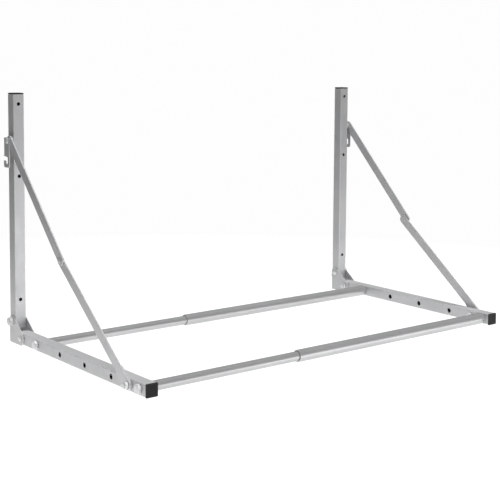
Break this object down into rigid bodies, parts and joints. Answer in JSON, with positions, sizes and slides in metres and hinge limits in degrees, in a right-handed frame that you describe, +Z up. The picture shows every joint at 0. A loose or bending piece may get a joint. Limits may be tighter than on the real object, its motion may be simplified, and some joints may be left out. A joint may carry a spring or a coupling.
{
  "type": "tyre storage rack",
  "caption": "Wall-mounted folding tyre rack: uprights, jointed braces and fold-up arms carry telescoping rods that hold a row of tyres.",
  "frame": {"origin": "on the wall plane, half way between the outer faces of the two uprights, at the height of the undersides of the arms", "axes": "+X to the right along the rods, +Y into the wall that the uprights are screwed to, +Z up"},
  "size_m": [1.0208, 0.547, 0.5488],
  "materials": {
    "coated_steel": "silver-grey powder coat with a fine texture, satin",
    "rod_steel": "smooth drawn tube, satin silver, with faint lengthwise drawing lines",
    "zinc_fastener": "bright zinc plating",
    "black_plastic": "moulded black plastic with a fine grain"
  },
  "bodies": {
    "left_wall_frame": {"left_upright_tube": "coated_steel", "left_upright_cap": "black_plastic", "left_pivot_bracket": "coated_steel", "left_bracket_bolt": "zinc_fastener", "left_bracket_nut": "zinc_fastener", "left_arm_pivot_bolt": "zinc_fastener", "left_arm_pivot_nut": "zinc_fastener", "left_hook_bracket": "coated_steel", "left_brace_top_bolt": "zinc_fastener", "left_brace_top_spacer": "zinc_fastener", "left_brace_top_nut": "zinc_fastener"},
    "left_arm": {"left_arm_tube": "coated_steel", "left_arm_cap": "black_plastic", "left_brace_foot_bolt": "zinc_fastener", "left_brace_foot_nut": "zinc_fastener", "left_front_rod": "rod_steel", "left_front_rod_insert": "zinc_fastener", "left_front_rod_bolt": "zinc_fastener", "left_rear_rod": "rod_steel", "left_rear_rod_insert": "zinc_fastener", "left_rear_rod_bolt": "zinc_fastener"},
    "left_upper_brace": {"left_upper_brace": "coated_steel", "left_knee_rivet_outer": "coated_steel"},
    "left_lower_brace": {"left_lower_brace": "coated_steel", "left_knee_rivet_inner": "coated_steel", "left_brace_doubler": "coated_steel"},
    "right_wall_frame": {"right_upright_tube": "coated_steel", "right_upright_cap": "black_plastic", "right_pivot_bracket": "coated_steel", "right_bracket_bolt": "zinc_fastener", "right_bracket_nut": "zinc_fastener", "right_arm_pivot_bolt": "zinc_fastener", "right_arm_pivot_nut": "zinc_fastener", "right_hook_bracket": "coated_steel", "right_brace_top_bolt": "zinc_fastener", "right_brace_top_spacer": "zinc_fastener", "right_brace_top_nut": "zinc_fastener"},
    "right_arm": {"right_arm_tube": "coated_steel", "right_arm_cap": "black_plastic", "right_brace_foot_bolt": "zinc_fastener", "right_brace_foot_nut": "zinc_fastener", "right_front_rod": "rod_steel", "right_front_rod_insert": "zinc_fastener", "right_front_rod_bolt": "zinc_fastener", "right_rear_rod": "rod_steel", "right_rear_rod_insert": "zinc_fastener", "right_rear_rod_bolt": "zinc_fastener"},
    "right_upper_brace": {"right_upper_brace": "coated_steel", "right_knee_rivet_outer": "coated_steel"},
    "right_lower_brace": {"right_lower_brace": "coated_steel", "right_knee_rivet_inner": "coated_steel", "right_brace_doubler": "coated_steel"}
  },
  "joints": [
    {"name": "width_adjust", "type": "slide", "parent": "left_wall_frame", "child": "right_wall_frame", "axis": [1, 0, 0], "range_m": [-0.174, 0.224]},
    {"name": "left_arm_fold", "type": "hinge", "parent": "left_wall_frame", "child": "left_arm", "pos_m": [-0.493, -0.05, 0.0127], "axis": [-1, 0, 0], "range_deg": [0, 90]},
    {"name": "left_upper_brace_swing", "type": "hinge", "parent": "left_wall_frame", "child": "left_upper_brace", "pos_m": [-0.493, -0.017, 0.443], "axis": [-1, 0, 0], "range_deg": [-28, 0]},
    {"name": "left_lower_brace_swing", "type": "hinge", "parent": "left_arm", "child": "left_lower_brace", "pos_m": [-0.493, -0.488, 0.0127], "axis": [-1, 0, 0], "range_deg": [0, 49]},
    {"name": "right_arm_fold", "type": "hinge", "parent": "right_wall_frame", "child": "right_arm", "pos_m": [0.493, -0.05, 0.0127], "axis": [-1, 0, 0], "range_deg": [0, 90]},
    {"name": "right_upper_brace_swing", "type": "hinge", "parent": "right_wall_frame", "child": "right_upper_brace", "pos_m": [0.493, -0.017, 0.443], "axis": [-1, 0, 0], "range_deg": [-28, 0]},
    {"name": "right_lower_brace_swing", "type": "hinge", "parent": "right_arm", "child": "right_lower_brace", "pos_m": [0.493, -0.488, 0.0127], "axis": [-1, 0, 0], "range_deg": [0, 49]}
  ],
  "couplings": [
    {"joint": "left_upper_brace_swing", "follows": "left_arm_fold", "ratio": -0.30917},
    {"joint": "left_lower_brace_swing", "follows": "left_arm_fold", "ratio": 0.54358},
    {"joint": "right_arm_fold", "follows": "left_arm_fold", "ratio": 1},
    {"joint": "right_upper_brace_swing", "follows": "left_arm_fold", "ratio": -0.30917},
    {"joint": "right_lower_brace_swing", "follows": "left_arm_fold", "ratio": 0.54358}
  ]
}
